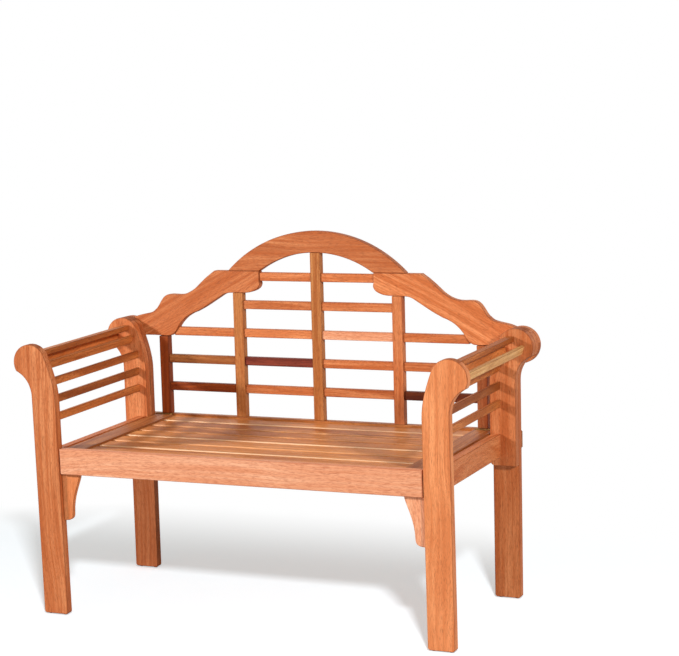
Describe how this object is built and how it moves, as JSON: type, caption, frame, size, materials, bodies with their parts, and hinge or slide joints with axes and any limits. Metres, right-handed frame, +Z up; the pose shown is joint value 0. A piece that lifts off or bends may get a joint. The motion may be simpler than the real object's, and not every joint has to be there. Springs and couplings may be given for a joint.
{
  "type": "folding garden bench",
  "caption": "Folding hardwood garden bench with scrolled arms, a raised centre to its slatted back and a slatted seat that turns up on hinges.",
  "frame": {"origin": "on the floor, at the middle of the bench's width and depth", "axes": "+X to the right as seen from the front, along the bench; +Y from the front to the back; +Z up"},
  "size_m": [1.235, 0.5522, 0.9483],
  "materials": {
    "frame_wood": "oiled satin",
    "apron_wood": "oiled satin",
    "seat_wood": "oiled satin",
    "arm_slat_wood": "oiled satin",
    "pale_wood": "oiled satin",
    "dark_wood": "oiled satin",
    "hinge_brass": "satin"
  },
  "bodies": {
    "frame": {"arm_board_left": "frame_wood", "arm_board_right": "frame_wood", "arm_hinge_lower_left": "hinge_brass", "arm_hinge_lower_right": "hinge_brass", "arm_hinge_upper_left": "hinge_brass", "arm_hinge_upper_right": "hinge_brass", "arm_rail_left": "frame_wood", "arm_rail_right": "frame_wood", "arm_slat_1_left": "arm_slat_wood", "arm_slat_1_right": "arm_slat_wood", "arm_slat_2_left": "arm_slat_wood", "arm_slat_2_right": "arm_slat_wood", "arm_slat_3_left": "arm_slat_wood", "arm_slat_3_right": "arm_slat_wood", "arm_slat_outer_left": "pale_wood", "arm_slat_outer_right": "pale_wood", "arm_slat_shoulder_left": "arm_slat_wood", "arm_slat_shoulder_right": "arm_slat_wood", "arm_slat_top_left": "arm_slat_wood", "arm_slat_top_right": "arm_slat_wood", "back_arch": "frame_wood", "back_bottom_rail": "frame_wood", "back_scrolled_rail_left": "frame_wood", "back_scrolled_rail_right": "frame_wood", "back_slat_fourth_left": "frame_wood", "back_slat_fourth_right": "frame_wood", "back_slat_top_left": "frame_wood", "back_slat_top_right": "frame_wood", "back_slats_bottom_row": "frame_wood", "back_slats_second_row": "frame_wood", "back_slats_third_row": "frame_wood", "back_stile_inner_left": "frame_wood", "back_stile_inner_right": "frame_wood", "back_stile_middle": "frame_wood", "back_stile_outer_left": "dark_wood", "back_stile_outer_right": "frame_wood", "front_leg_left": "frame_wood", "front_leg_right": "frame_wood", "rear_leg_left": "frame_wood", "rear_leg_right": "frame_wood", "seat_bracket_left": "frame_wood", "seat_bracket_right": "frame_wood", "seat_hinge_fixed_leaf_left": "hinge_brass", "seat_hinge_fixed_leaf_right": "hinge_brass", "seat_hinge_pin_left": "hinge_brass", "seat_hinge_pin_right": "hinge_brass"},
    "seat": {"seat_apron": "apron_wood", "seat_batten_left": "seat_wood", "seat_batten_right": "seat_wood", "seat_hinge_moving_leaf_left": "hinge_brass", "seat_hinge_moving_leaf_right": "hinge_brass", "seat_side_rail_left": "seat_wood", "seat_side_rail_right": "seat_wood", "seat_slat_1": "seat_wood", "seat_slat_2": "seat_wood", "seat_slat_3": "seat_wood", "seat_slat_4": "seat_wood", "seat_slat_5": "seat_wood", "seat_slat_6": "seat_wood", "seat_slat_7": "seat_wood"}
  },
  "joints": [
    {"name": "seat_fold", "type": "hinge", "parent": "frame", "child": "seat", "pos_m": [0, 0.23932, 0.438], "axis": [-1, 0, 0], "range_deg": [0, 90]}
  ]
}
